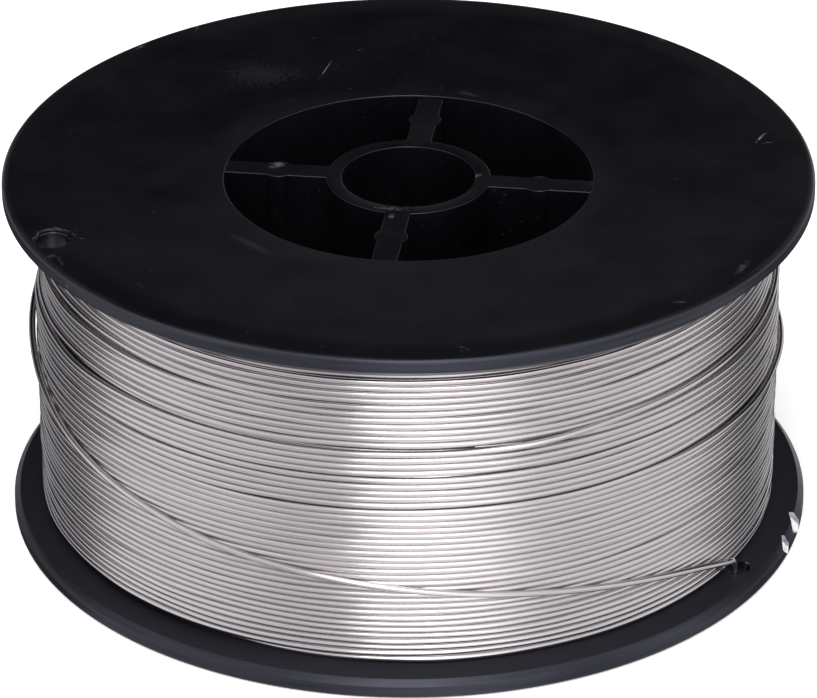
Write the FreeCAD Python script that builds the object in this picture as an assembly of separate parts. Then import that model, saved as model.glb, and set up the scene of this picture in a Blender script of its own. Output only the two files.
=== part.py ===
import FreeCAD, Part
import math
import os

# A small spool of drawn steel welding wire, standing on one flange.
# Millimetres. The origin is on the axis, in the plane that the lower rim stands on.
# Angles round the axis are degrees from +X, anticlockwise seen from above.

# Moulded spool, one piece: two dished flanges, a barrel and a ribbed hub.
flange_diameter = 100.0
spool_height = 45.8
flange_thickness = 2.4
rest_ring_width = 4.0
dish_depth = 1.2
outer_edge_bevel = 0.55
inner_edge_bevel = 0.65
opening_diameter = 45.5
barrel_wall = 2.25
bore_diameter = 16.5
bore_tube_wall = 1.9
hub_end_drop = 0.1
rib_count = 4
rib_thickness = 3.1
first_rib_angle = -7.5
boss_diameter = 4.05
boss_circle_diameter = 32.4

# Holes that take an end of the wire, their centres set in from the rims.
wire_hole_inset = 3.25
upper_hole_diameter = 3.8
upper_hole_angle = 204.2
lower_hole_diameter = 3.2
lower_hole_angle = -30.4

# Chips broken out of the lower rim: steep side, shallow side, depth.
rim_chips = (
    (-12.0, -17.8, 1.35),
    (-18.9, -22.8, 0.9),
)

# Wound wire, which fills the spool to a little inside the rims.
wire_diameter = 0.8
winding_inset = 3.9
winding_clearance = 0.1

# Outer end of the wire, which leaves the winding near the front, goes once round
# the back and crosses the front to the lower hole. Each station is its angle past
# the front, its height, and its lift off the winding.
front_angle = -90.0
end_stations = (
    (10.0, 31.0, -1.9),
    (18.0, 31.3, 0.0),
    (32.0, 32.05, 0.0),
    (47.0, 32.5, 0.0),
    (62.0, 32.85, 0.0),
    (77.0, 33.25, 0.0),
    (92.0, 33.6, 0.05),
    (107.0, 33.8, 0.0),
    (122.0, 33.8, 0.0),
    (137.0, 33.7, 0.0),
    (152.0, 33.4, 0.0),
    (167.0, 33.0, 0.0),
    (182.0, 32.5, 0.0),
    (197.0, 31.9, 0.0),
    (212.0, 31.2, 0.0),
    (227.0, 30.2, 0.0),
    (242.0, 29.0, 0.1),
    (256.0, 27.7, 0.25),
    (269.0, 26.0, 0.35),
    (282.0, 23.3, 0.25),
    (294.0, 20.7, 0.05),
    (306.0, 18.8, 0.0),
    (318.0, 17.3, 0.0),
    (330.0, 15.8, 0.0),
    (342.0, 14.6, 0.0),
    (354.0, 13.4, 0.0),
    (366.0, 12.25, 0.0),
    (378.0, 11.0, 0.0),
    (390.0, 9.5, 0.0),
    (402.0, 7.7, 0.0),
    (411.0, 6.0, 0.0),
    (417.0, 4.4, 0.0),
    (420.4, 3.1, 0.0),
    (420.4, 0.5, 0.0),
)
arc_share = 0.45
wire_end_sides = 8

# How far a cutting tool runs past the face that it cuts.
tool_overrun = 1.0

# Sizes worked out from those above.
rim_radius = flange_diameter / 2
ring_radius = rim_radius - rest_ring_width
opening_radius = opening_diameter / 2
barrel_radius = opening_radius + barrel_wall
bore_radius = bore_diameter / 2
bore_tube_radius = bore_radius + bore_tube_wall
hub_end = dish_depth + hub_end_drop
hub_height = spool_height - 2 * hub_end
wire_hole_circle_radius = rim_radius - wire_hole_inset
winding_radius = rim_radius - winding_inset
wire_radius = wire_diameter / 2
dish_slope = dish_depth / (ring_radius - opening_radius)

AXIS = FreeCAD.Vector(0, 0, 1)
CENTRE = FreeCAD.Vector(0, 0, 0)


def polar(radius, angle, height):
    """Point at a radius and an angle round the axis."""
    turn = math.radians(angle)
    return FreeCAD.Vector(radius * math.cos(turn), radius * math.sin(turn), height)


def dish_level(radius, depth):
    """Level of the dished cone at a radius, at a depth inside the flange's outer face."""
    return depth + dish_slope * (ring_radius - radius)


def section_point(radius, level, upper):
    """Section point, measured up from the lower rim plane or down from the upper one."""
    height = spool_height - level if upper else level
    return FreeCAD.Vector(radius, 0, height)


def turned(points):
    """Solid of revolution of a closed section, given by its corners."""
    outline = Part.makePolygon(points + points[:1])
    return Part.Face(outline).revolve(CENTRE, AXIS, 360)


def flange_corners(upper):
    """Section of one flange, from the opening edge round the rim to the barrel."""
    corners = (
        (opening_radius, dish_depth),
        (ring_radius, 0),
        (rim_radius - outer_edge_bevel, 0),
        (rim_radius, outer_edge_bevel),
        (rim_radius, flange_thickness - inner_edge_bevel),
        (rim_radius - inner_edge_bevel, flange_thickness),
        (ring_radius, flange_thickness),
        (barrel_radius, dish_level(barrel_radius, flange_thickness)),
    )
    return [section_point(radius, level, upper) for radius, level in corners]


def flanged_barrel():
    """Both flanges and the barrel between them."""
    return turned(flange_corners(False) + flange_corners(True)[::-1])


def hub_tube():
    """Tube of the bore, which stops just short of the flange faces."""
    start = FreeCAD.Vector(0, 0, hub_end)
    outside = Part.makeCylinder(bore_tube_radius, hub_height, start)
    inside = Part.makeCylinder(bore_radius, hub_height, start)
    return outside.cut(inside)


def hub_rib(angle):
    """Rib from the bore tube to the barrel, with the round column of its ejector pin."""
    start = bore_radius + bore_tube_wall / 2
    end = opening_radius + barrel_wall / 2
    corner = FreeCAD.Vector(start, -rib_thickness / 2, hub_end)
    web = Part.makeBox(end - start, rib_thickness, hub_height, corner)
    column_base = FreeCAD.Vector(boss_circle_diameter / 2, 0, hub_end)
    column = Part.makeCylinder(boss_diameter / 2, hub_height, column_base)
    rib = web.fuse(column)
    rib.rotate(CENTRE, AXIS, angle)
    return rib


def wire_hole(diameter, angle, upper):
    """Tool that drills one wire hole through a flange."""
    base = spool_height - flange_thickness if upper else 0.0
    start = polar(wire_hole_circle_radius, angle, base - tool_overrun)
    return Part.makeCylinder(diameter / 2, flange_thickness + 2 * tool_overrun, start)


def rim_chip(steep_angle, shallow_angle, depth):
    """Tool that breaks a saw-tooth chip out of the lower rim."""
    past_rim = rim_radius + tool_overrun
    points = [
        polar(rim_radius - depth, steep_angle, -tool_overrun),
        polar(past_rim, steep_angle, -tool_overrun),
        polar(past_rim, shallow_angle, -tool_overrun),
        polar(rim_radius, shallow_angle, -tool_overrun),
    ]
    outline = Part.makePolygon(points + points[:1])
    return Part.Face(outline).extrude(AXIS * (flange_thickness + 2 * tool_overrun))


def spool():
    """The whole moulding."""
    ribs = [hub_rib(first_rib_angle + i * 360 / rib_count) for i in range(rib_count)]
    body = flanged_barrel().fuse([hub_tube()] + ribs)
    tools = [
        wire_hole(upper_hole_diameter, upper_hole_angle, True),
        wire_hole(lower_hole_diameter, lower_hole_angle, False),
    ]
    tools += [rim_chip(*chip) for chip in rim_chips]
    return body.cut(tools).removeSplitter()


def winding():
    """The wound wire as a turned ring with its bore, filling the space between the flanges."""
    depth = flange_thickness + winding_clearance
    radii = (barrel_radius + winding_clearance, winding_radius)
    lower, upper = [[section_point(r, dish_level(r, depth), side) for r in radii] for side in (False, True)]
    return turned(lower + upper[::-1])


def end_corners():
    """Corners of the wire end's route. Each stands out so that its arc rests at the lift given."""
    rest = winding_radius + winding_clearance + wire_radius
    corners = []
    for i, (angle, height, lift) in enumerate(end_stations):
        beside = [end_stations[j][0] for j in (i - 1, i + 1) if 0 <= j < len(end_stations)]
        half_gap = max(abs(angle - other) for other in beside) / 2
        corners.append(polar((rest + lift) / math.cos(math.radians(half_gap)), front_angle + angle, height))
    return corners


def rounded_route(corners):
    """Straight runs joined by tangent arcs, as large as the shorter run beside each corner allows."""
    edges = []
    radii = []
    last = corners[0]
    for before, corner, after in zip(corners, corners[1:], corners[2:]):
        back = before - corner
        ahead = after - corner
        setback = arc_share * min(back.Length, ahead.Length)
        half_turn = (math.pi - back.getAngle(ahead)) / 2
        radius = setback / math.tan(half_turn)
        back.normalize()
        ahead.normalize()
        inward = (back + ahead).normalize()
        start = corner + back * setback
        stop = corner + ahead * setback
        middle = corner + inward * (radius / math.cos(half_turn) - radius)
        edges.append(Part.makeLine(last, start))
        edges.append(Part.Arc(start, middle, stop).toShape())
        radii.append(radius)
        last = stop
    edges.append(Part.makeLine(last, corners[-1]))
    print("wire end arcs from", round(min(radii), 1), "to", round(max(radii), 1), "mm radius")
    return Part.Wire(edges)


def wire_section(start, ahead):
    """Section of the wire end, a regular polygon across its first run."""
    side_turn = 360 / wire_end_sides
    first = start + ahead.cross(AXIS).normalize() * wire_radius
    turns = [FreeCAD.Rotation(ahead, i * side_turn) for i in range(wire_end_sides + 1)]
    return Part.makePolygon([start + turn.multVec(first - start) for turn in turns])


def wire_end():
    """The free end of the wire, swept along its route."""
    corners = end_corners()
    route = rounded_route(corners)
    section = wire_section(corners[0], corners[1] - corners[0])
    end = route.makePipeShell([section], True, False)
    expected = Part.Face(section).Area * route.Length
    print("wire end", round(route.Length, 1), "mm long, volume", round(end.Volume / expected, 4), "of expected")
    return end


def wire():
    """The wire, one length: its winding and its free outer end."""
    return winding().fuse(wire_end())


def main():
    os.makedirs("parts", exist_ok=True)
    for name, shape in (("spool", spool()), ("wire", wire())):
        print(name, len(shape.Solids), "solid,", round(shape.Volume / 1000, 2), "cm3, valid", shape.isValid())
        shape.exportStep("parts/" + name + ".step")


main()
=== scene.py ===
import bmesh
import bpy
import math
import numpy as np
from mathutils import Matrix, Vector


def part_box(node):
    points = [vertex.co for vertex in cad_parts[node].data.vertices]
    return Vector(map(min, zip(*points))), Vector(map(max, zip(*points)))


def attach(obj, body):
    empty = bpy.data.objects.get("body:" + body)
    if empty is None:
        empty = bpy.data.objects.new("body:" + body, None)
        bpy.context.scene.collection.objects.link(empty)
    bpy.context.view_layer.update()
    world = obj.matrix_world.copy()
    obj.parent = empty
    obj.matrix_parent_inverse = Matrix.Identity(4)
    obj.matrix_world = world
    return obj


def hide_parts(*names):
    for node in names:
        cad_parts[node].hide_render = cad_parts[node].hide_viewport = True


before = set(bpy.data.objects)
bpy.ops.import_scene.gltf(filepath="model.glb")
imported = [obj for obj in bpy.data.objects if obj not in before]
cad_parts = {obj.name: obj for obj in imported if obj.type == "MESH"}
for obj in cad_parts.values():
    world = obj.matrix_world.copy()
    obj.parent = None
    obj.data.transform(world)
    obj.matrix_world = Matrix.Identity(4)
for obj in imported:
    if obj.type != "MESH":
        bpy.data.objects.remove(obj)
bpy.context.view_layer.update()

# The spool: one injection moulding in black polystyrene, with two flanges dished towards
# the hub, a barrel between them, and a bore tube held by four ribs. Each rib carries the
# round column that an ejector pin leaves. Sizes are in millimetres.
mm = 0.001
spool_high = np.array(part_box("spool")[1]) / mm
spool_height = spool_high[2]
rim_radius = spool_high[:2].max()
ring_radius = rim_radius - 4.0
flange_thickness = 2.4
dish_depth = 1.2
opening_radius = 22.75
barrel_radius = 25.0
rim_round = 0.55
rim_chamfer = 0.75
moulded_edge_round = 0.12
opening_edge_round = 0.15
ring_blend = 30.0
barrel_fillet = 0.6
flange_segments = 384


def rounded_outline(corners, radii, step=math.radians(14)):
    """Closed outline whose corners are arcs, each tangent to both sides: a point of an arc is
    its centre plus the spokes to the two tangent points, blended by the sines of their angles."""
    corners = np.array(corners, float)
    points = []
    beside = zip(np.roll(corners, 1, 0), corners, np.roll(corners, -1, 0), radii)
    for before, corner, after, radius in beside:
        back, ahead = ((end - corner) / np.linalg.norm(end - corner) for end in (before, after))
        turn = math.pi - math.acos(np.clip(back @ ahead, -1, 1))
        bisector = (back + ahead) / np.linalg.norm(back + ahead)
        centre = corner + bisector * radius / math.cos(turn / 2)
        first, last = (corner + side * radius * math.tan(turn / 2) - centre for side in (back, ahead))
        share = np.linspace(0, 1, max(2, math.ceil(turn / step) + 1))[:, None]
        spokes = np.sin((1 - share) * turn) * first + np.sin(share * turn) * last
        points.append(centre + spokes / math.sin(turn))
    return np.concatenate(points)


def grid_quads(rows, columns, close_rows):
    """Corner numbers of the quads of a grid whose columns run round and meet."""
    strips = rows if close_rows else rows - 1
    row, column = np.meshgrid(np.arange(strips), np.arange(columns), indexing="ij")
    next_row, next_column = (row + 1) % rows, (column + 1) % columns
    corners = (row * columns + column, row * columns + next_column,
               next_row * columns + next_column, next_row * columns + column)
    return np.stack(corners, axis=-1).reshape(-1, 4)


def new_object(name, points, faces):
    """Object at the origin, its mesh given in millimetres."""
    mesh = bpy.data.meshes.new(name)
    mesh.from_pydata((points.reshape(-1, 3) * mm).tolist(), [], faces)
    mesh.polygons.foreach_set("use_smooth", [True] * len(mesh.polygons))
    made = bpy.data.objects.new(name, mesh)
    bpy.context.scene.collection.objects.link(made)
    return made


def turned(name, outline, segments):
    """Closed outline of radius and height turned about the axis: x = r cos a, y = r sin a, z = h."""
    angle = np.arange(segments) * 2 * math.pi / segments
    radius, height = outline[:, 0, None], outline[:, 1, None]
    points = np.stack(np.broadcast_arrays(radius * np.cos(angle), radius * np.sin(angle), height), axis=-1)
    return new_object(name, points, grid_quads(len(outline), segments, True).tolist())


def flange_corners(upper):
    """Section of one flange from its opening to the barrel, as corners, and the radius of each."""
    slope = dish_depth / (ring_radius - opening_radius)
    inner = flange_thickness + slope * (ring_radius - barrel_radius)
    section = (
        (opening_radius, dish_depth, opening_edge_round),
        (ring_radius, 0.0, ring_blend),
        (rim_radius, 0.0, rim_round),
        (rim_radius, flange_thickness - rim_chamfer, moulded_edge_round),
        (rim_radius - rim_chamfer, flange_thickness, moulded_edge_round),
        (ring_radius, flange_thickness, ring_blend),
        (barrel_radius, inner, barrel_fillet),
    )
    return [(r, spool_height - level if upper else level, rounding) for r, level, rounding in section]


section = np.array(flange_corners(False) + flange_corners(True)[::-1])
spool = turned("spool_moulding", rounded_outline(section[:, :2], section[:, 2]), flange_segments)

hub_low = dish_depth + 0.1
hub_high = spool_height - hub_low
bore_radius = 8.25
bore_tube_radius = 10.15
rib_half = 1.55
rib_count = 4
first_rib_angle = math.radians(-7.5)
column_radius = 2.025
column_place = 16.2
hub_edge_round = 0.13
into_barrel = 1.2
bore_segments = 160


def hub_outline():
    """Outline of the tube, ribs and columns, anticlockwise. Beside a rib it is the line v = half
    the rib, interrupted by the arc of the column's circle, and between ribs it is the tube's circle."""
    out = np.linspace(0, 1, 12)
    tube_end = math.sqrt(bore_tube_radius ** 2 - rib_half ** 2)
    column_half = math.acos(rib_half / column_radius)
    swing = np.linspace(math.pi / 2 + column_half, math.pi / 2 - column_half, 16)
    arc = np.stack((column_place + column_radius * np.cos(swing), column_radius * np.sin(swing)), -1)
    near = np.stack((tube_end + out[:-1] * (arc[0, 0] - tube_end), np.full(11, rib_half)), -1)
    end = opening_radius + into_barrel
    far = np.stack((arc[-1, 0] + out[1:] * (end - arc[-1, 0]), np.full(11, rib_half)), -1)
    side = np.concatenate((near, arc, far))
    rib = np.concatenate((side * (1, -1), side[::-1]))
    rib_turn = 2 * math.pi / rib_count
    gap = math.asin(rib_half / bore_tube_radius)
    between = np.linspace(gap, rib_turn - gap, 26)[1:-1]
    tube = bore_tube_radius * np.stack((np.cos(between), np.sin(between)), -1)
    quarter = np.concatenate((rib, tube))
    turns = first_rib_angle + np.arange(rib_count) * rib_turn
    cos, sin = np.cos(turns), np.sin(turns)
    rotations = np.stack((cos, -sin, sin, cos), -1).reshape(-1, 2, 2)
    return np.concatenate([quarter @ rotation.T for rotation in rotations])


def hub_wall(outline, outward):
    """Wall of the hub on an outline: it rises from the lower face to the upper one, and at both
    it draws back into the plastic along the outline's normal by a quarter circle."""
    ahead = np.roll(outline, -1, 0) - np.roll(outline, 1, 0)
    normal = np.stack((ahead[:, 1], -ahead[:, 0]), -1) / np.linalg.norm(ahead, axis=1)[:, None] * outward
    bend = np.linspace(0, math.pi / 2, 5)
    draw = hub_edge_round * (1 - np.sin(bend))
    rise = hub_edge_round * (1 - np.cos(bend))
    inset = np.concatenate((draw, draw[::-1]))
    height = np.concatenate((hub_low + rise, hub_high - rise[::-1]))
    flat = outline[None] - normal[None] * inset[:, None, None]
    return np.concatenate((flat, np.broadcast_to(height[:, None, None], flat.shape[:2] + (1,))), -1)


def close_up(solid, open_levels=()):
    """Fills a solid's openings at these heights with flat faces, and turns every face outwards."""
    shell = bmesh.new()
    shell.from_mesh(solid.data)
    for level in open_levels:
        rim = [edge for edge in shell.edges
               if edge.is_boundary and abs(edge.verts[0].co.z / mm - level) < 0.01]
        bmesh.ops.triangle_fill(shell, use_beauty=True, edges=rim)
    bmesh.ops.recalc_face_normals(shell, faces=shell.faces)
    shell.to_mesh(solid.data)
    shell.free()


def hub():
    """The bore tube with its ribs and columns, as one closed solid with flat ends."""
    bore_angle = np.arange(bore_segments) * 2 * math.pi / bore_segments
    bore = bore_radius * np.stack((np.cos(bore_angle), np.sin(bore_angle)), -1)
    outside = hub_wall(hub_outline(), 1)
    inside = hub_wall(bore, -1)[::-1]
    faces = np.concatenate((grid_quads(*outside.shape[:2], False),
                            grid_quads(*inside.shape[:2], False) + outside.shape[0] * outside.shape[1]))
    points = np.concatenate((outside.reshape(-1, 3), inside.reshape(-1, 3)))
    solid = new_object("hub", points, faces.tolist())
    close_up(solid, (hub_low, hub_high))
    return solid


def combine(body, operation, tool):
    """Joins a tool to a solid, or cuts it away with the tool's material on the cut, and uses it up."""
    change = body.modifiers.new(operation, "BOOLEAN")
    change.operation = operation
    change.material_mode = "TRANSFER"
    change.object = tool
    changed = bpy.data.meshes.new_from_object(body.evaluated_get(bpy.context.evaluated_depsgraph_get()))
    body.modifiers.clear()
    body.data = changed
    bpy.data.objects.remove(tool)


combine(spool, "UNION", hub())


def linear(hex_colour):
    """Linear red, green, blue and alpha of an sRGB hex colour."""
    values = [int(hex_colour[i:i + 2], 16) / 255 for i in (1, 3, 5)]
    return [v / 12.92 if v <= 0.04045 else ((v + 0.055) / 1.055) ** 2.4 for v in values] + [1.0]


def add_node(tree, kind, settings=None, links=None, stops=()):
    """Adds a node. Settings name its properties or its inputs, links feed inputs from sockets, and
    the stops of a colour ramp are pairs of a place and a colour, in order."""
    node = tree.nodes.new(kind)
    for key, value in (settings or {}).items():
        if isinstance(key, str) and hasattr(node, key):
            setattr(node, key, value)
        else:
            node.inputs[key].default_value = value
    for key, socket in (links or {}).items():
        tree.links.new(socket, node.inputs[key])
    for i, (place, colour) in enumerate(stops):
        stop = node.color_ramp.elements[i] if i < 2 else node.color_ramp.elements.new(place)
        stop.position = place
        stop.color = colour
    return node


def new_material(name):
    """Empty node material and its tree."""
    material = bpy.data.materials.new(name)
    material.use_nodes = True
    material.node_tree.nodes.clear()
    return material, material.node_tree


def per_mm(size):
    """Scale at which a noise has one grain for each such size in millimetres."""
    return 1 / (size * mm)


def from_axis(tree, place):
    """Distance of a place from the axis: the length of its level part."""
    level_part = add_node(tree, "ShaderNodeVectorMath", {"operation": "MULTIPLY", 1: (1.0, 1.0, 0.0)},
                          {0: place})
    away = add_node(tree, "ShaderNodeVectorMath", {"operation": "LENGTH"},
                    {0: level_part.outputs["Vector"]})
    return away.outputs["Value"]


# Rubs, scratches and specks that handling has left on the plastic, and a painted highlight
# round the upper hole: the middle in mm, the direction in degrees from +X, half the length,
# half the width, and how pale it is.
marks = (
    (-10.5, 29.8, 45.1, 72, 2.4, 0.10, 0.30),
    (-18.7, 27.7, 45.2, 3, 5.2, 3.6, 0.02),
    (43.9, 8.2, 45.7, 64, 1.6, 0.18, 0.40),
    (44.6, 6.6, 45.7, 10, 0.8, 0.12, 0.25),
    (39.5, -27.1, 45.8, 63, 1.9, 0.45, 0.09),
    (31.8, -35.7, 45.8, 0, 0.8, 0.4, 0.07),
    (-27.4, 40.9, 45.8, 82, 1.6, 0.14, 0.20),
    (-34.5, 34.8, 45.8, 59, 1.2, 0.25, 0.12),
    (-19.0, -18.7, 44.8, -47, 4.4, 0.8, 0.03),
    # These six rows ring the upper hole where its burr broke off: a painted highlight, palest on the far
    # edge.
    (-44.6, -18.0, 45.8, 76, 1.3, 0.14, 0.22),
    (-43.5, -16.7, 45.8, 23, 1.2, 0.15, 0.18),
    (-41.6, -16.7, 45.7, -20, 1.4, 0.15, 0.22),
    (-40.3, -17.7, 45.7, -60, 0.9, 0.13, 0.12),
    (-39.5, -18.8, 45.7, -20, 0.9, 0.10, 0.14),
    (-42.4, -21.3, 45.8, 0, 1.4, 0.12, 0.07),
    (-42.7, -23.8, 45.8, 31, 1.0, 0.45, 0.06),
    (-41.5, -24.8, 45.8, -69, 1.6, 0.22, 0.05),
    (32.5, 36.8, 45.8, -36, 0.9, 0.15, 0.15),
    (6.2, -46.8, 45.8, -35, 1.1, 0.2, 0.06),
    (7.8, 22.9, 44.7, -29, 2.0, 0.5, 0.04),
    (-16.2, 3.3, 44.5, 51, 1.3, 0.8, 0.20),
    (8.4, 0.1, 44.5, 40, 0.7, 0.35, 0.22),
    (-2.4, -8.8, 44.5, -10, 1.8, 0.45, 0.12),
    (-2.1, -10.8, 44.5, 77, 0.6, 0.4, 0.16),
    (-40.1, -29.4, 44.1, -36, 0.6, 0.3, 0.3),
    (41.6, -22.5, 2.6, 0, 0.3, 0.2, 0.5),
    (45.9, -20.3, 2.4, -77, 1.0, 0.12, 0.3),
    (49.5, -8.0, 1.3, -81, 1.6, 0.3, 0.3),
)
mark_depth = 1.2


def marked(tree, place, grit):
    """Mask of the marks: 1 less the distance from a mark's middle, measured in its own half length,
    half width and depth, and broken up by a fine grit. The palest mark at each place counts."""
    together = None
    for x, y, z, direction, half_length, half_width, pale in marks:
        own = add_node(tree, "ShaderNodeMapping", {
            "vector_type": "TEXTURE", "Location": (x * mm, y * mm, z * mm),
            "Rotation": (0.0, 0.0, math.radians(direction)),
            "Scale": (half_length * mm, half_width * mm, mark_depth * mm)}, {"Vector": place})
        away = add_node(tree, "ShaderNodeVectorMath", {"operation": "LENGTH"}, {0: own.outputs["Vector"]})
        rough = add_node(tree, "ShaderNodeMath", {"operation": "ADD"}, {0: away.outputs["Value"], 1: grit})
        mask = add_node(tree, "ShaderNodeMapRange", {"From Min": 1.1, "From Max": 0.4, "To Max": pale},
                        {"Value": rough.outputs[0]})
        if together is None:
            together = mask.outputs["Result"]
        else:
            together = add_node(tree, "ShaderNodeMath", {"operation": "MAXIMUM"},
                                {0: together, 1: mask.outputs["Result"]}).outputs[0]
    return together


# Black high-impact polystyrene, injection moulded in a plain steel mould: a dark satin skin
# with a faint mottle, specks of dust, scratches and rubs. Painted sheen makes it paler in a ring
# round the opening and, with streaky scuffs, along the rims, and a painted highlight rings the
# upper hole, brightest on its far edge.
plastic, tree = new_material("moulded_black_polystyrene")
place = add_node(tree, "ShaderNodeTexCoord").outputs["Object"]
mottle = add_node(tree, "ShaderNodeTexNoise", {"Scale": per_mm(9.0), "Detail": 4.0, "Roughness": 0.6},
                  {"Vector": place})
grain = add_node(tree, "ShaderNodeTexNoise", {"Scale": per_mm(0.35), "Detail": 2.0}, {"Vector": place})
grit = add_node(tree, "ShaderNodeMapRange", {
    "From Min": 0.35, "From Max": 0.65, "To Min": -0.35, "To Max": 0.6}, {"Value": grain.outputs["Fac"]})
radius = from_axis(tree, place)
# Painted sheen: the skin is paler in a ring round the opening, fading out 4.5 mm beyond it.
outside = add_node(tree, "ShaderNodeMapRange", {
    "From Min": (opening_radius - 0.3) * mm, "From Max": (opening_radius + 0.3) * mm, "To Max": 0.006},
    {"Value": radius})
opening_sheen = add_node(tree, "ShaderNodeMapRange", {
    "From Min": (opening_radius + 4.5) * mm, "From Max": (opening_radius + 0.5) * mm},
    {"Value": radius, "To Max": outside.outputs["Result"]})
round_and_round = add_node(tree, "ShaderNodeMapping", {"Scale": (0.03, 0.03, 1.0)}, {"Vector": place})
streaks = add_node(tree, "ShaderNodeTexNoise", {"Scale": per_mm(0.45), "Detail": 3.0},
                   {"Vector": round_and_round.outputs["Vector"]})
# Along the rims the skin is paler in streaks: scuffs, and painted sheen that stands in for the rims'
# reflection.
scuffs_and_sheen = add_node(tree, "ShaderNodeMapRange", {
    "From Min": 0.35, "From Max": 0.7, "To Min": 0.008, "To Max": 0.055}, {"Value": streaks.outputs["Fac"]})
rim_scuffs_and_sheen = add_node(tree, "ShaderNodeMapRange", {
    "From Min": (rim_radius - 0.9) * mm, "From Max": (rim_radius - 0.3) * mm},
    {"Value": radius, "To Max": scuffs_and_sheen.outputs["Result"]})
dust = add_node(tree, "ShaderNodeTexNoise", {"Scale": per_mm(0.6), "Detail": 3.0, "Roughness": 0.7},
                {"Vector": place})
specks = add_node(tree, "ShaderNodeMapRange", {"From Min": 0.66, "From Max": 0.80, "To Max": 0.14},
                  {"Value": dust.outputs["Fac"]})
wear_dust_and_sheen = marked(tree, place, grit.outputs["Result"])
for other in (opening_sheen, rim_scuffs_and_sheen, specks):
    palest = add_node(tree, "ShaderNodeMath", {"operation": "MAXIMUM"},
                      {0: wear_dust_and_sheen, 1: other.outputs["Result"]})
    wear_dust_and_sheen = palest.outputs[0]
skin = add_node(tree, "ShaderNodeMapRange", {
    "From Min": 0.3, "From Max": 0.7, "To Min": 0.28, "To Max": 0.38}, {"Value": mottle.outputs["Fac"]})
# The flanges' inner faces, moulded against a coarser plate, are duller than the outer ones.
height = add_node(tree, "ShaderNodeSeparateXYZ", {}, {"Vector": place}).outputs["Z"]
from_middle = add_node(tree, "ShaderNodeMath", {"operation": "SUBTRACT", 1: spool_height / 2 * mm},
                       {0: height})
to_face = add_node(tree, "ShaderNodeMath", {"operation": "ABSOLUTE"}, {0: from_middle.outputs[0]})
past_opening = add_node(tree, "ShaderNodeMapRange", {
    "From Min": (opening_radius + 0.5) * mm, "From Max": (opening_radius + 1.0) * mm, "To Max": 0.65},
    {"Value": radius})
inner_face = spool_height / 2 - flange_thickness
inner_dull = add_node(tree, "ShaderNodeMapRange", {
    "From Min": inner_face * mm, "From Max": (inner_face + 0.1) * mm, "To Max": 0.0},
    {"Value": to_face.outputs[0], "To Min": past_opening.outputs["Result"]})
dull = add_node(tree, "ShaderNodeMath", {"operation": "MAXIMUM"},
                {0: skin.outputs["Result"], 1: inner_dull.outputs["Result"]})
tint = add_node(tree, "ShaderNodeValToRGB", {}, {"Fac": mottle.outputs["Fac"]},
                ((0.3, linear("#040406")), (0.75, linear("#070709"))))
# The pale colour shows rubs, scratches and dust, and also the painted sheen and painted highlight in the
# mask.
worn_and_sheen = add_node(tree, "ShaderNodeMix", {"data_type": "RGBA", 7: linear("#9aa0aa")},
                {0: wear_dust_and_sheen, 6: tint.outputs["Color"]})
relief = add_node(tree, "ShaderNodeBump", {"Strength": 0.12, "Distance": 0.02 * mm},
                  {"Height": grain.outputs["Fac"]})
shader = add_node(tree, "ShaderNodeBsdfPrincipled", {"IOR": 1.59, "Specular Tint": (0.74, 0.76, 1.0, 1.0)},
                  {"Base Color": worn_and_sheen.outputs[2], "Roughness": dull.outputs[0],
                   "Normal": relief.outputs["Normal"]})
add_node(tree, "ShaderNodeOutputMaterial", {}, {"Surface": shader.outputs["BSDF"]})

# The same polystyrene where it is torn: the strain has turned it white, and it is rough. The
# tear starts at the flange's face as a smoother facet, which widens towards the rim: it lies where
# the height plus 0.55 of the radius is over 28.7 mm. The facet's darker bluish grey is painted
# shade and reflection.
torn, tree = new_material("stress_whitened_polystyrene")
place = add_node(tree, "ShaderNodeTexCoord").outputs["Object"]
height = add_node(tree, "ShaderNodeSeparateXYZ", {}, {"Vector": place}).outputs["Z"]
split = add_node(tree, "ShaderNodeMath", {"operation": "MULTIPLY_ADD", 1: 0.55},
                 {0: from_axis(tree, place), 2: height})
facet = add_node(tree, "ShaderNodeMapRange", {"From Min": 28.66 * mm, "From Max": 28.80 * mm},
                 {"Value": split.outputs[0]})
tear = add_node(tree, "ShaderNodeTexNoise", {"Scale": per_mm(0.5), "Detail": 5.0, "Roughness": 0.7},
                {"Vector": place})
pale = add_node(tree, "ShaderNodeValToRGB", {}, {"Fac": tear.outputs["Fac"]},
                ((0.25, linear("#a5a2a1")), (0.5, linear("#eeedec"))))
# Painted shade and reflection: the darker bluish grey of the smoother facet.
smooth = add_node(tree, "ShaderNodeValToRGB", {}, {"Fac": tear.outputs["Fac"]},
                  ((0.3, linear("#6c707b")), (0.7, linear("#a2a7b2"))))
shade = add_node(tree, "ShaderNodeMix", {"data_type": "RGBA"}, {
    0: facet.outputs["Result"], 6: pale.outputs["Color"], 7: smooth.outputs["Color"]})
fibres = add_node(tree, "ShaderNodeBump", {"Strength": 0.4, "Distance": 0.08 * mm},
                  {"Height": tear.outputs["Fac"]})
shader = add_node(tree, "ShaderNodeBsdfPrincipled", {"IOR": 1.59, "Roughness": 0.6},
                  {"Base Color": shade.outputs[2], "Normal": fibres.outputs["Normal"]})
add_node(tree, "ShaderNodeOutputMaterial", {}, {"Surface": shader.outputs["BSDF"]})

spool.data.materials.clear()
spool.data.materials.append(plastic)

# Holes for the ends of the wire. The drill's section is a row of radii and heights. The upper
# hole has a shallow uneven ring round it, where its burr has broken off.
wire_hole_circle = rim_radius - 3.25
upper_hole_angle = math.radians(204.2)
lower_hole_angle = math.radians(-30.4)
top = spool_height
upper_hole = ((1.9, top - 4.0), (1.9, top - 0.27), (2.02, top - 0.13), (2.36, top - 0.10),
              (2.5, top + 0.02), (2.5, top + 1.0))
lower_hole = ((1.6, -1.0), (1.6, 4.0))
hole_segments = 96


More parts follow.
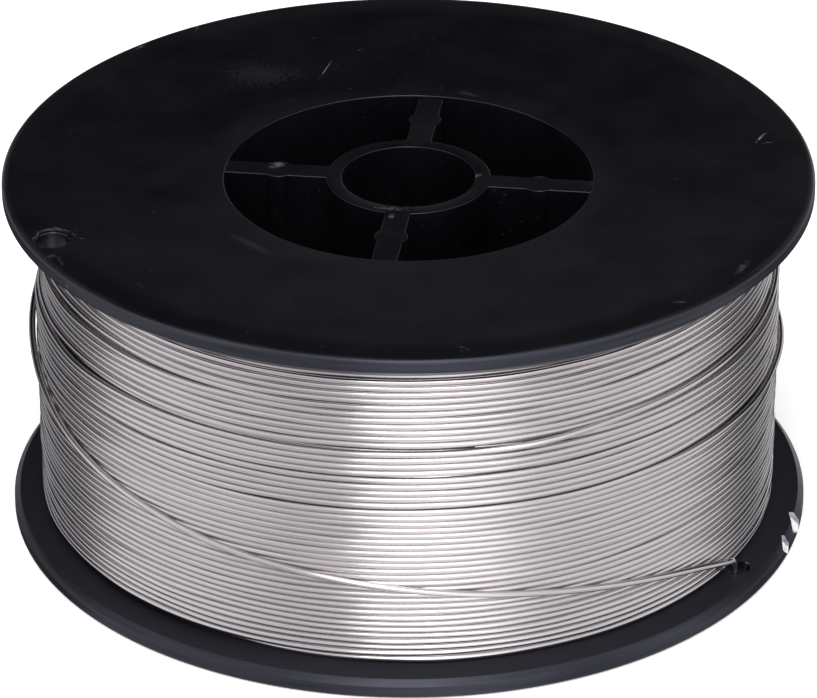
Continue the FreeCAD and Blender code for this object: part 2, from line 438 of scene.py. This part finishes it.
def end_caps(rows, columns):
    """The two faces that close a grid whose columns run round, at its first row and its last."""
    return [list(range(columns))[::-1], list(range((rows - 1) * columns, rows * columns))]


def drill(section, angle, uneven):
    """Tool for a hole, turned about the hole's own axis: radius r (1 + uneven (sin 3t + 0.7 sin 5t)),
    where the unevenness grows from the first ring of the section to the last."""
    radius, height = np.array(section).T
    turn = np.arange(hole_segments) * 2 * math.pi / hole_segments
    share = np.linspace(0, 1, len(radius))[:, None]
    r = radius[:, None] * (1 + uneven * share * (np.sin(3 * turn + 1.0) + 0.7 * np.sin(5 * turn)))
    x = wire_hole_circle * math.cos(angle) + r * np.cos(turn)
    y = wire_hole_circle * math.sin(angle) + r * np.sin(turn)
    points = np.stack((x, y, np.broadcast_to(height[:, None], x.shape)), -1)
    rows = len(radius)
    faces = grid_quads(rows, hole_segments, False).tolist() + end_caps(rows, hole_segments)
    tool = new_object("drill", points, faces)
    tool.data.materials.append(plastic)
    return tool


combine(spool, "DIFFERENCE", drill(upper_hole, upper_hole_angle, 0.03))
combine(spool, "DIFFERENCE", drill(lower_hole, lower_hole_angle, 0.0))

# Two chips that knocks have broken out of the lower rim's upper edge: the steep side, the
# shallow side, both in degrees from +X, and the depth. The floor is given along the chip.
rim_chips = ((-12.0, -16.6, 1.40), (-18.9, -22.0, 1.10))
chip_floor = ((0.0, 2.5), (0.15, 1.6), (0.22, 0.55), (0.28, 0.75), (1.0, 1.9))


def chip_tool(steep, shallow, depth):
    """Tool for one chip. In plan it is a saw tooth: its inner side comes out from the depth at the
    steep side to the rim at the shallow one. Its floor drops down a smooth face to a crack and rises
    again as a torn face. It falls outwards too, and is roughened by sines of both directions."""
    u, w = np.meshgrid(np.linspace(0, 1, 25), np.linspace(0, 1, 11), indexing="ij")
    inner = rim_radius - depth * (1 - u) ** 0.8
    radius = inner + w * (rim_radius + 0.8 - inner)
    angle = np.radians(steep + (shallow - steep) * u + 0.12 * np.sin(9 * w + 2 * u))
    rough = 0.07 * np.sin(17 * u + 5 * w) * np.sin(11 * w + 1.0) * np.clip(4 * u - 1.6, 0, 1)
    floor = np.interp(u, *np.array(chip_floor).T) - 0.3 * (radius - inner) + rough
    x, y = radius * np.cos(angle), radius * np.sin(angle)
    low = np.stack((x, y, floor), -1)
    high = np.stack((x, y, np.full_like(x, flange_thickness + 1.0)), -1)
    rows, columns = u.shape
    row, column = np.meshgrid(np.arange(rows - 1), np.arange(columns - 1), indexing="ij")
    quad = np.stack((row * columns + column, (row + 1) * columns + column,
                     (row + 1) * columns + column + 1, row * columns + column + 1), -1).reshape(-1, 4)
    number = np.arange(rows * columns).reshape(rows, columns)
    edge = np.concatenate((number[:-1, 0], number[-1, :-1], number[:0:-1, -1], number[0, :0:-1]))
    ahead = np.roll(edge, -1)
    beyond = rows * columns
    sides = np.stack((edge, ahead, ahead + beyond, edge + beyond), -1)
    faces = np.concatenate((quad, quad[:, ::-1] + beyond, sides))
    tool = new_object("chip", np.concatenate((low.reshape(-1, 3), high.reshape(-1, 3))), faces.tolist())
    close_up(tool)
    tool.data.materials.append(torn)
    return tool


for chip in rim_chips:
    combine(spool, "DIFFERENCE", chip_tool(*chip))

spool.data.set_sharp_from_angle(angle=math.radians(32))
spool.modifiers.new("even_shading", "WEIGHTED_NORMAL").keep_sharp = True
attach(spool, "root")
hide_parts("spool")

# The wire: one length of 0.8 mm steel, drawn bright and wound turn against turn. Its outer
# layer is laid in 49 turns that climb to the right. The pack is a little oval and lies to the
# left of the axis, and its upper turns have sunk in at both sides and under the upper flange.
wire_radius = 0.412
pack_radius = 45.8
pack_oval = 0.4
pack_offset = 0.2
lower_last_turn = 34
upper_last_turn = 48
turn_levels = ((0, 2.82), (25, 23.03), (30, 27.32), (34, 30.78), (35, 31.95), (46, 41.28), (48, 42.98))
steps_per_turn = 200
wire_sides = 12
front = math.radians(-90)

# Places where neighbouring turns stand apart: the turn below the gap, the degrees past the
# front where it is widest, how far it reaches to each side, and its width.
gaps = (
    (12, 40, 22, 0.10),
    (25, 8, 50, 0.15),
    (29, -60, 45, 0.14),
    (30, 20, 45, 0.17),
    (34, 20, 40, 0.12),
    (25, 72, 22, 0.42),
    (34, -66, 30, 0.50),
    (34, 72, 28, 0.50),
    (40, -68, 26, 0.55),
    (40, 42, 20, 0.12),
)

# Steps where the turns above have sunk in: the last turn below the step, the degrees past the
# front where it is deepest, how far it reaches, and how much lower they lie.
sunk = (
    (34, 92, 40, 0.85),
    (34, -76, 36, 0.62),
    (40, -70, 32, 0.60),
    (45, 0, 100, 0.45),
)

# How laid wire wanders: the length of each wave, and how far it goes out.
waves = ((37.0, 0.055), (23.0, 0.038), (13.0, 0.016))


def bump(x):
    """Bell of height 1 at 0: exp(-x squared)."""
    return np.exp(-x ** 2)


def wander(degrees, start):
    """Uneven waviness: sines of the running length, whose phases drift with slower sines."""
    turn = 2 * math.pi * (pack_radius * np.radians(degrees) + start)
    return sum(reach * np.sin(turn / wave + 2.1 * np.sin(turn / (4.7 * wave))) for wave, reach in waves)


def turn_height(degrees):
    """Height of the wound wire's centre. It runs straight between the levels of the turns, waves
    a little, and moves apart at each gap, ever less over the turns beside it."""
    turns = degrees / 360
    height = np.interp(turns, *np.array(turn_levels).T) + 0.15 * wander(degrees, 500.0)
    past_front = (degrees + 180) % 360 - 180
    for turn, centre, reach, width in gaps:
        above = turns - past_front / 360 - turn - 0.5
        apart = np.sign(above) * np.exp(-np.abs(above) / 4)
        height = height + width / 2 * apart * bump((past_front - centre) / reach)
    return height


def pack_surface(degrees, turn):
    """Outer radius of the pack at an angle past the front, for a turn: an oval that is shifted to
    the left, less the bell of each step that the turn lies above."""
    past = np.radians(degrees)
    radius = pack_radius + pack_oval * np.sin(past) ** 2 - pack_offset * np.sin(past)
    past_front = (degrees + 180) % 360 - 180
    for last_below, centre, reach, drop in sunk:
        sinking = np.clip((turn - last_below) / 2, 0, 1)
        radius = radius - drop * sinking * bump((past_front - centre) / reach)
    return radius


def turn_at(height):
    """Number of the turn whose place is at a height."""
    turns, heights = np.array(turn_levels).T
    return np.interp(height, heights, turns)


def store_along(piece, along):
    """Attribute along_wire of every point, in metres: the length so far and the two shares of the
    cross-section."""
    stored = piece.data.attributes.new("along_wire", "FLOAT_VECTOR", "POINT")
    stored.data.foreach_set("vector", (along * mm).ravel())


def tube(name, degrees, radius, height, sides):
    """Round wire along a path round the axis. Each point is the path's point plus the wire's radius
    times (cos t outward + sin t sideways), where outward points away from the axis, at a right angle
    to the path."""
    angle = front + np.radians(degrees)
    path = np.stack((radius * np.cos(angle), radius * np.sin(angle), height), -1)
    ahead = np.gradient(path, axis=0)
    ahead /= np.linalg.norm(ahead, axis=1)[:, None]
    outward = np.stack((np.cos(angle), np.sin(angle), np.zeros_like(angle)), -1)
    outward -= (outward * ahead).sum(1)[:, None] * ahead
    outward /= np.linalg.norm(outward, axis=1)[:, None]
    sideways = np.cross(ahead, outward)
    t = np.arange(sides) * 2 * math.pi / sides
    ring = np.cos(t)[:, None] * outward[:, None] + np.sin(t)[:, None] * sideways[:, None]
    points = path[:, None] + wire_radius * ring
    count = len(path)
    made = new_object(name, points, grid_quads(count, sides, False).tolist() + end_caps(count, sides))
    length = np.concatenate(([0], np.cumsum(np.linalg.norm(np.diff(path, axis=0), axis=1))))
    across = np.broadcast_to(wire_radius * np.stack((np.cos(t), np.sin(t)), -1), (count, sides, 2))
    along = np.concatenate((np.broadcast_to(length[:, None, None], (count, sides, 1)), across), -1)
    store_along(made, along)
    return made


def smooth_path(stations, samples):
    """Path through stations: each value follows cubic pieces over the running length, which pass
    through the stations with the slope between their neighbours."""
    angle = np.radians(stations[:, 0])
    places = np.stack((stations[:, 1] * np.cos(angle), stations[:, 1] * np.sin(angle), stations[:, 2]), -1)
    length = np.concatenate(([0], np.cumsum(np.linalg.norm(np.diff(places, axis=0), axis=1))))
    slope = np.gradient(stations, length, axis=0)
    count = len(stations)
    where = np.linspace(0, count - 1, (count - 1) * samples + 1)
    piece = np.minimum(where.astype(int), count - 2)
    s = (where - piece)[:, None]
    run = (length[piece + 1] - length[piece])[:, None]
    return ((2 * s ** 3 - 3 * s ** 2 + 1) * stations[piece] + (s ** 3 - 2 * s ** 2 + s) * run * slope[piece]
            + (3 * s ** 2 - 2 * s ** 3) * stations[piece + 1] + (s ** 3 - s ** 2) * run * slope[piece + 1])


# The outer end of the wire. It leaves its groove near the front, climbs over its neighbours,
# goes once round the back, drops across the front and hooks into the lower flange's hole.
# Each station is its angle past the front, its height, and its lift off the pack.
end_leaves = 10.0
end_stations = (
    (18.0, 31.2, -0.25), (32.0, 32.1, 0.0), (47.0, 32.45, 0.0), (62.0, 32.85, 0.0), (77.0, 33.3, 0.0),
    (92.0, 33.6, 0.0), (107.0, 33.8, 0.0), (122.0, 33.8, 0.0), (137.0, 33.7, 0.0), (152.0, 33.4, 0.0),
    (167.0, 33.0, 0.0), (182.0, 32.5, 0.0), (197.0, 31.9, 0.0), (212.0, 31.2, 0.0), (227.0, 30.2, 0.05),
    (242.0, 29.0, 0.1), (256.0, 27.7, 0.13), (269.0, 26.0, 0.15), (282.0, 23.3, 0.12), (294.0, 20.7, 0.05),
    (306.0, 18.8, 0.0), (318.0, 17.3, 0.0), (330.0, 15.8, 0.0), (342.0, 14.6, 0.0), (354.0, 13.4, 0.0),
    (366.0, 12.25, 0.0), (378.0, 11.0, 0.0), (390.0, 9.5, 0.0), (402.0, 7.7, 0.06), (410.5, 6.1, 0.35),
    (415.4, 4.9, 0.64), (417.5, 4.25, 0.74), (418.1, 3.3, 0.74), (418.1, 0.5, 0.74),
)
loose_turn = 25
loose_centre = 102.0
loose_reach = 40.0
loose_lift = 0.95
end_dip = 1.6
dip_degrees = 40.0


def wound(first, last):
    """Angle, radius and height along wound turns. The loose turn stands off the pack by a bell."""
    degrees = np.linspace(first, last, round((last - first) / 360 * steps_per_turn) + 1)
    loose = loose_lift * bump((degrees - 360 * loose_turn - loose_centre) / loose_reach)
    radius = pack_surface(degrees, np.round(degrees / 360)) - wire_radius + loose + wander(degrees, 0.0)
    return np.stack((degrees, radius, turn_height(degrees)), -1)


def lower_turns():
    """The lower turns and the outer end as one path. The first turn dips under the layer."""
    leave = 360 * lower_last_turn + end_leaves
    path = wound(-dip_degrees, leave)
    path[:, 1] -= end_dip * np.clip(-path[:, 0] / dip_degrees, 0, 1) ** 2
    past, height, lift = np.array(end_stations).T
    radius = pack_surface(past, turn_at(height)) + wire_radius + lift
    stations = np.stack((past + 360 * lower_last_turn, radius, height), -1)
    groove = path[[-9, -5, -1]]
    free = smooth_path(np.concatenate((groove, stations)), 9)[2 * 9:]
    return np.concatenate((path[:-1], free))


def upper_turns():
    """The turns above the place where the outer end leaves. Both ends dip under the layer."""
    first, last = 360 * lower_last_turn + 4, 360 * upper_last_turn + 8
    path = wound(first, last)
    start_dip = np.clip(1 - (path[:, 0] - first) / dip_degrees, 0, 1) ** 2
    last_dip = np.clip(1 - (last - path[:, 0]) / dip_degrees, 0, 1) ** 2
    path[:, 1] -= end_dip * (start_dip + last_dip)
    return path


def layer_below():
    """The layer under the outer one as one closed ring. Its face is a row of turns laid the other
    way: radius = pack - 3.5 r + r sqrt|sin|, where the sine runs over the height plus the angle."""
    pitch = 0.86
    heights = np.linspace(3.4, 42.3, 273)
    degrees = np.arange(192) * 360 / 192
    phase = math.pi * (heights[:, None] / pitch + degrees / 360)
    pack = pack_surface(degrees, turn_at(heights)[:, None])
    outer = pack - 3.5 * wire_radius + wire_radius * np.sqrt(np.abs(np.sin(phase)))
    inner = np.broadcast_to(outer.min() - 3.0, (2, degrees.size))
    radius = np.concatenate((inner[:1], outer, inner[1:]))
    height = np.concatenate((heights[:1], heights, heights[-1:]))[:, None]
    angle = front + np.radians(degrees)
    points = np.stack(np.broadcast_arrays(radius * np.cos(angle), radius * np.sin(angle), height), axis=-1)
    made = new_object("wire_layer_below", points, grid_quads(*radius.shape, True).tolist())
    along = np.broadcast_arrays(np.radians(degrees) * pack_radius, radius * 0, height)
    store_along(made, np.stack(along, -1))
    return made


# Bright drawn mild steel: the die leaves fine lines along the wire, and the colour is a warm
# grey. Real lines are finer: these are drawn 0.06 mm apart and some 12 mm long, so that they show.
die_line_gap = 0.06
die_line_length = 12.0
steel, tree = new_material("bright_drawn_steel")
wire_place = add_node(tree, "ShaderNodeAttribute", {"attribute_name": "along_wire"})
stretch = add_node(tree, "ShaderNodeMapping", {"Scale": (die_line_gap / die_line_length, 1.0, 1.0)},
                   {"Vector": wire_place.outputs["Vector"]})
die_lines = add_node(tree, "ShaderNodeTexNoise", {"Scale": per_mm(die_line_gap), "Detail": 3.0},
                     {"Vector": stretch.outputs["Vector"]})
patch_place = add_node(tree, "ShaderNodeMapping", {"Scale": (1.0, 0.0, 0.0)},
                       {"Vector": wire_place.outputs["Vector"]})
patches = add_node(tree, "ShaderNodeTexNoise", {"Scale": per_mm(35.0), "Detail": 4.0, "Roughness": 0.65},
                   {"Vector": patch_place.outputs["Vector"]})
polish = add_node(tree, "ShaderNodeMapRange", {
    "From Min": 0.3, "From Max": 0.7, "To Min": 0.13, "To Max": 0.22}, {"Value": patches.outputs["Fac"]})
tone = add_node(tree, "ShaderNodeValToRGB", {}, {"Fac": die_lines.outputs["Fac"]},
                ((0.25, linear("#cbc6c8")), (0.7, linear("#eae5e7"))))
lines = add_node(tree, "ShaderNodeBump", {"Strength": 0.08, "Distance": 0.01 * mm},
                 {"Height": die_lines.outputs["Fac"]})
shader = add_node(tree, "ShaderNodeBsdfPrincipled", {"Metallic": 1.0},
                  {"Base Color": tone.outputs["Color"], "Roughness": polish.outputs["Result"],
                   "Normal": lines.outputs["Normal"]})
add_node(tree, "ShaderNodeOutputMaterial", {}, {"Surface": shader.outputs["BSDF"]})

for piece in (tube("wire_lower_turns", *lower_turns().T, wire_sides),
              tube("wire_upper_turns", *upper_turns().T, wire_sides), layer_below()):
    piece.data.materials.append(steel)
    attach(piece, "root")
    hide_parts("wire")

# The stage: a white floor that keeps a soft shadow, and even light from large cards. The camera
# sees the paper lifted to white, and in reflections it is clear beyond the rim, so that the
# pieces mirror the studio there.
floor_half = 3.0
floor_corners = np.array(((-1, -1, 0), (1, -1, 0), (1, 1, 0), (-1, 1, 0))) * floor_half / mm
floor = new_object("floor", floor_corners, [[0, 1, 2, 3]])
paper, tree = new_material("white_paper")
rays = add_node(tree, "ShaderNodeLightPath")
seen = add_node(tree, "ShaderNodeMath", {"operation": "ADD", "use_clamp": True},
                {0: rays.outputs["Is Camera Ray"], 1: rays.outputs["Is Transmission Ray"]})
lift = add_node(tree, "ShaderNodeMath", {"operation": "MULTIPLY", 1: 0.35}, {0: seen.outputs[0]})
glow = add_node(tree, "ShaderNodeEmission", {}, {"Strength": lift.outputs[0]})
matte = add_node(tree, "ShaderNodeBsdfDiffuse", {"Color": linear("#f4f4f4")})
both = add_node(tree, "ShaderNodeAddShader", {}, {0: glow.outputs[0], 1: matte.outputs[0]})
spot = add_node(tree, "ShaderNodeTexCoord")
from_spool = add_node(tree, "ShaderNodeVectorMath", {"operation": "LENGTH"}, {0: spot.outputs["Object"]})
beyond = add_node(tree, "ShaderNodeMath", {"operation": "GREATER_THAN", 1: rim_radius * mm},
                  {0: from_spool.outputs["Value"]})
open_floor = add_node(tree, "ShaderNodeMath", {"operation": "MULTIPLY"},
                      {0: beyond.outputs[0], 1: rays.outputs["Is Glossy Ray"]})
clear = add_node(tree, "ShaderNodeBsdfTransparent")
paper_or_studio = add_node(tree, "ShaderNodeMixShader", {}, {
    0: open_floor.outputs[0], 1: both.outputs[0], 2: clear.outputs[0]})
add_node(tree, "ShaderNodeOutputMaterial", {}, {"Surface": paper_or_studio.outputs[0]})
floor.data.materials.append(paper)

# What the wire and the plastic mirror, by degrees to the right of the camera's side: a bright
# card in front with a softbox over it, grey cards at both sides, and darker ones behind them,
# all a little blue where they are dark.
cards = (
    (-180, 0.36), (-150, 0.42), (-125, 0.38), (-112, 0.45), (-102, 0.70), (-95, 0.84), (-64, 0.80),
    (-35, 0.66), (-18, 0.69), (-10, 1.20), (9, 1.40), (24, 1.45), (38, 0.85), (60, 0.77), (88, 0.80),
    (104, 0.76), (115, 0.44), (126, 0.42), (143, 0.72), (160, 1.05), (172, 0.90), (180, 0.36),
)
card_stops = [(degrees / 360 + 0.5, (bright, bright, bright + 0.03 * max(0, 1 - bright), 1.0))
              for degrees, bright in cards]

world = bpy.data.worlds.new("studio")
bpy.context.scene.world = world
world.use_nodes = True
tree = world.node_tree
tree.nodes.clear()
towards = add_node(tree, "ShaderNodeTexCoord")
axes = add_node(tree, "ShaderNodeSeparateXYZ", {}, {"Vector": towards.outputs["Generated"]})
away = add_node(tree, "ShaderNodeMath", {"operation": "MULTIPLY", 1: -1.0}, {0: axes.outputs["Y"]})
azimuth = add_node(tree, "ShaderNodeMath", {"operation": "ARCTAN2"},
                   {0: axes.outputs["X"], 1: away.outputs[0]})
around = add_node(tree, "ShaderNodeMapRange", {"From Min": -math.pi, "From Max": math.pi},
                  {"Value": azimuth.outputs[0]})
ring = add_node(tree, "ShaderNodeValToRGB", {}, {"Fac": around.outputs["Result"]}, card_stops)

# The studio's floor, a little darker than the cards, and black flags at both sides, which hide
# the cards there above and below a strip near the horizon.
on_floor = add_node(tree, "ShaderNodeMapRange", {
    "From Min": -0.04, "From Max": -0.2, "To Min": 1.0, "To Max": 0.73}, {"Value": axes.outputs["Z"]})
aside = add_node(tree, "ShaderNodeMath", {"operation": "ABSOLUTE"}, {0: azimuth.outputs[0]})
flag_side = add_node(tree, "ShaderNodeMapRange", {
    "From Min": math.radians(100), "From Max": math.radians(116)}, {"Value": aside.outputs[0]})
over_strip = add_node(tree, "ShaderNodeMath", {"operation": "ADD", 1: 0.05}, {0: axes.outputs["Z"]})
off_strip = add_node(tree, "ShaderNodeMath", {"operation": "ABSOLUTE"}, {0: over_strip.outputs[0]})
flag_end = add_node(tree, "ShaderNodeMapRange", {"From Min": 0.18, "From Max": 0.38, "To Max": 0.85},
                    {"Value": off_strip.outputs[0]})
flag = add_node(tree, "ShaderNodeMath", {"operation": "MULTIPLY"},
                {0: flag_side.outputs[0], 1: flag_end.outputs[0]})
unflagged = add_node(tree, "ShaderNodeMath", {"operation": "SUBTRACT", 0: 1.0}, {1: flag.outputs[0]})
strength = add_node(tree, "ShaderNodeMath", {"operation": "MULTIPLY"},
                    {0: on_floor.outputs[0], 1: unflagged.outputs[0]})

# The softbox in front, and the dark of the studio high up behind, which the upper flange mirrors.
box_wide = add_node(tree, "ShaderNodeMapRange", {
    "From Min": math.radians(17), "From Max": math.radians(11)}, {"Value": aside.outputs[0]})
box_high = add_node(tree, "ShaderNodeMapRange", {"From Min": 0.36, "From Max": 0.46},
                    {"Value": axes.outputs["Z"]})
box = add_node(tree, "ShaderNodeMath", {"operation": "MULTIPLY"},
               {0: box_wide.outputs[0], 1: box_high.outputs[0]})
boxed = add_node(tree, "ShaderNodeMix", {"data_type": "RGBA", 7: (3.8, 3.8, 3.8, 1.0)},
                 {0: box.outputs[0], 6: ring.outputs["Color"]})
behind = add_node(tree, "ShaderNodeMapRange", {"From Min": 0.1, "From Max": 0.6},
                  {"Value": axes.outputs["Y"]})
high = add_node(tree, "ShaderNodeMapRange", {"From Min": 0.06, "From Max": 0.4},
                {"Value": axes.outputs["Z"]})
hidden = add_node(tree, "ShaderNodeMath", {"operation": "MULTIPLY"},
                  {0: behind.outputs[0], 1: high.outputs[0]})
mirrored = add_node(tree, "ShaderNodeMix", {"data_type": "RGBA", 7: (0.02, 0.02, 0.035, 1.0)},
                    {0: hidden.outputs[0], 6: boxed.outputs[2]})

# The camera sees plain white in place of the studio.
rays = add_node(tree, "ShaderNodeLightPath")
studio = add_node(tree, "ShaderNodeBackground", {},
                  {"Color": mirrored.outputs[2], "Strength": strength.outputs[0]})
white = add_node(tree, "ShaderNodeBackground", {"Color": linear("#ffffff")})
see_through = add_node(tree, "ShaderNodeMath", {"operation": "ADD", "use_clamp": True},
                       {0: rays.outputs["Is Camera Ray"], 1: rays.outputs["Is Transmission Ray"]})
shown = add_node(tree, "ShaderNodeMixShader", {}, {
    0: see_through.outputs[0], 1: studio.outputs[0], 2: white.outputs[0]})
add_node(tree, "ShaderNodeOutputWorld", {}, {"Surface": shown.outputs[0]})

# One real lamp, a large round softbox overhead, which gives the floor its soft shadow.
lamp = bpy.data.lights.new("overhead_softbox", "AREA")
lamp.shape = "DISK"
lamp.size = 0.9
lamp.energy = 6.0
softbox = bpy.data.objects.new("overhead_softbox", lamp)
softbox.location = (-0.1, -0.25, 0.9)
softbox.visible_glossy = False
bpy.context.scene.collection.objects.link(softbox)

# The camera, at the photograph's viewing angle: it looks at the middle of the object from
# the front, and the shift puts that point where the photograph has it.
camera_distance = 656.78
camera_elevation = math.radians(28.259)
camera_roll = math.radians(-0.121)
photo_width = 817
focal_pixels = 5246.61
target_height = 22.5
camera_data = bpy.data.cameras.new("camera")
camera = bpy.data.objects.new("camera", camera_data)
bpy.context.scene.collection.objects.link(camera)
camera_data.lens = focal_pixels / photo_width * camera_data.sensor_width
camera_data.shift_x = -0.00039
camera_data.shift_y = -0.01904
camera.location = (0.0, -camera_distance * math.cos(camera_elevation) * mm,
                   (target_height + camera_distance * math.sin(camera_elevation)) * mm)
tilt = Matrix.Rotation(math.pi / 2 - camera_elevation, 3, "X") @ Matrix.Rotation(camera_roll, 3, "Z")
camera.rotation_euler = tilt.to_euler()
bpy.context.scene.camera = camera
bpy.context.scene.view_settings.view_transform = "Standard"
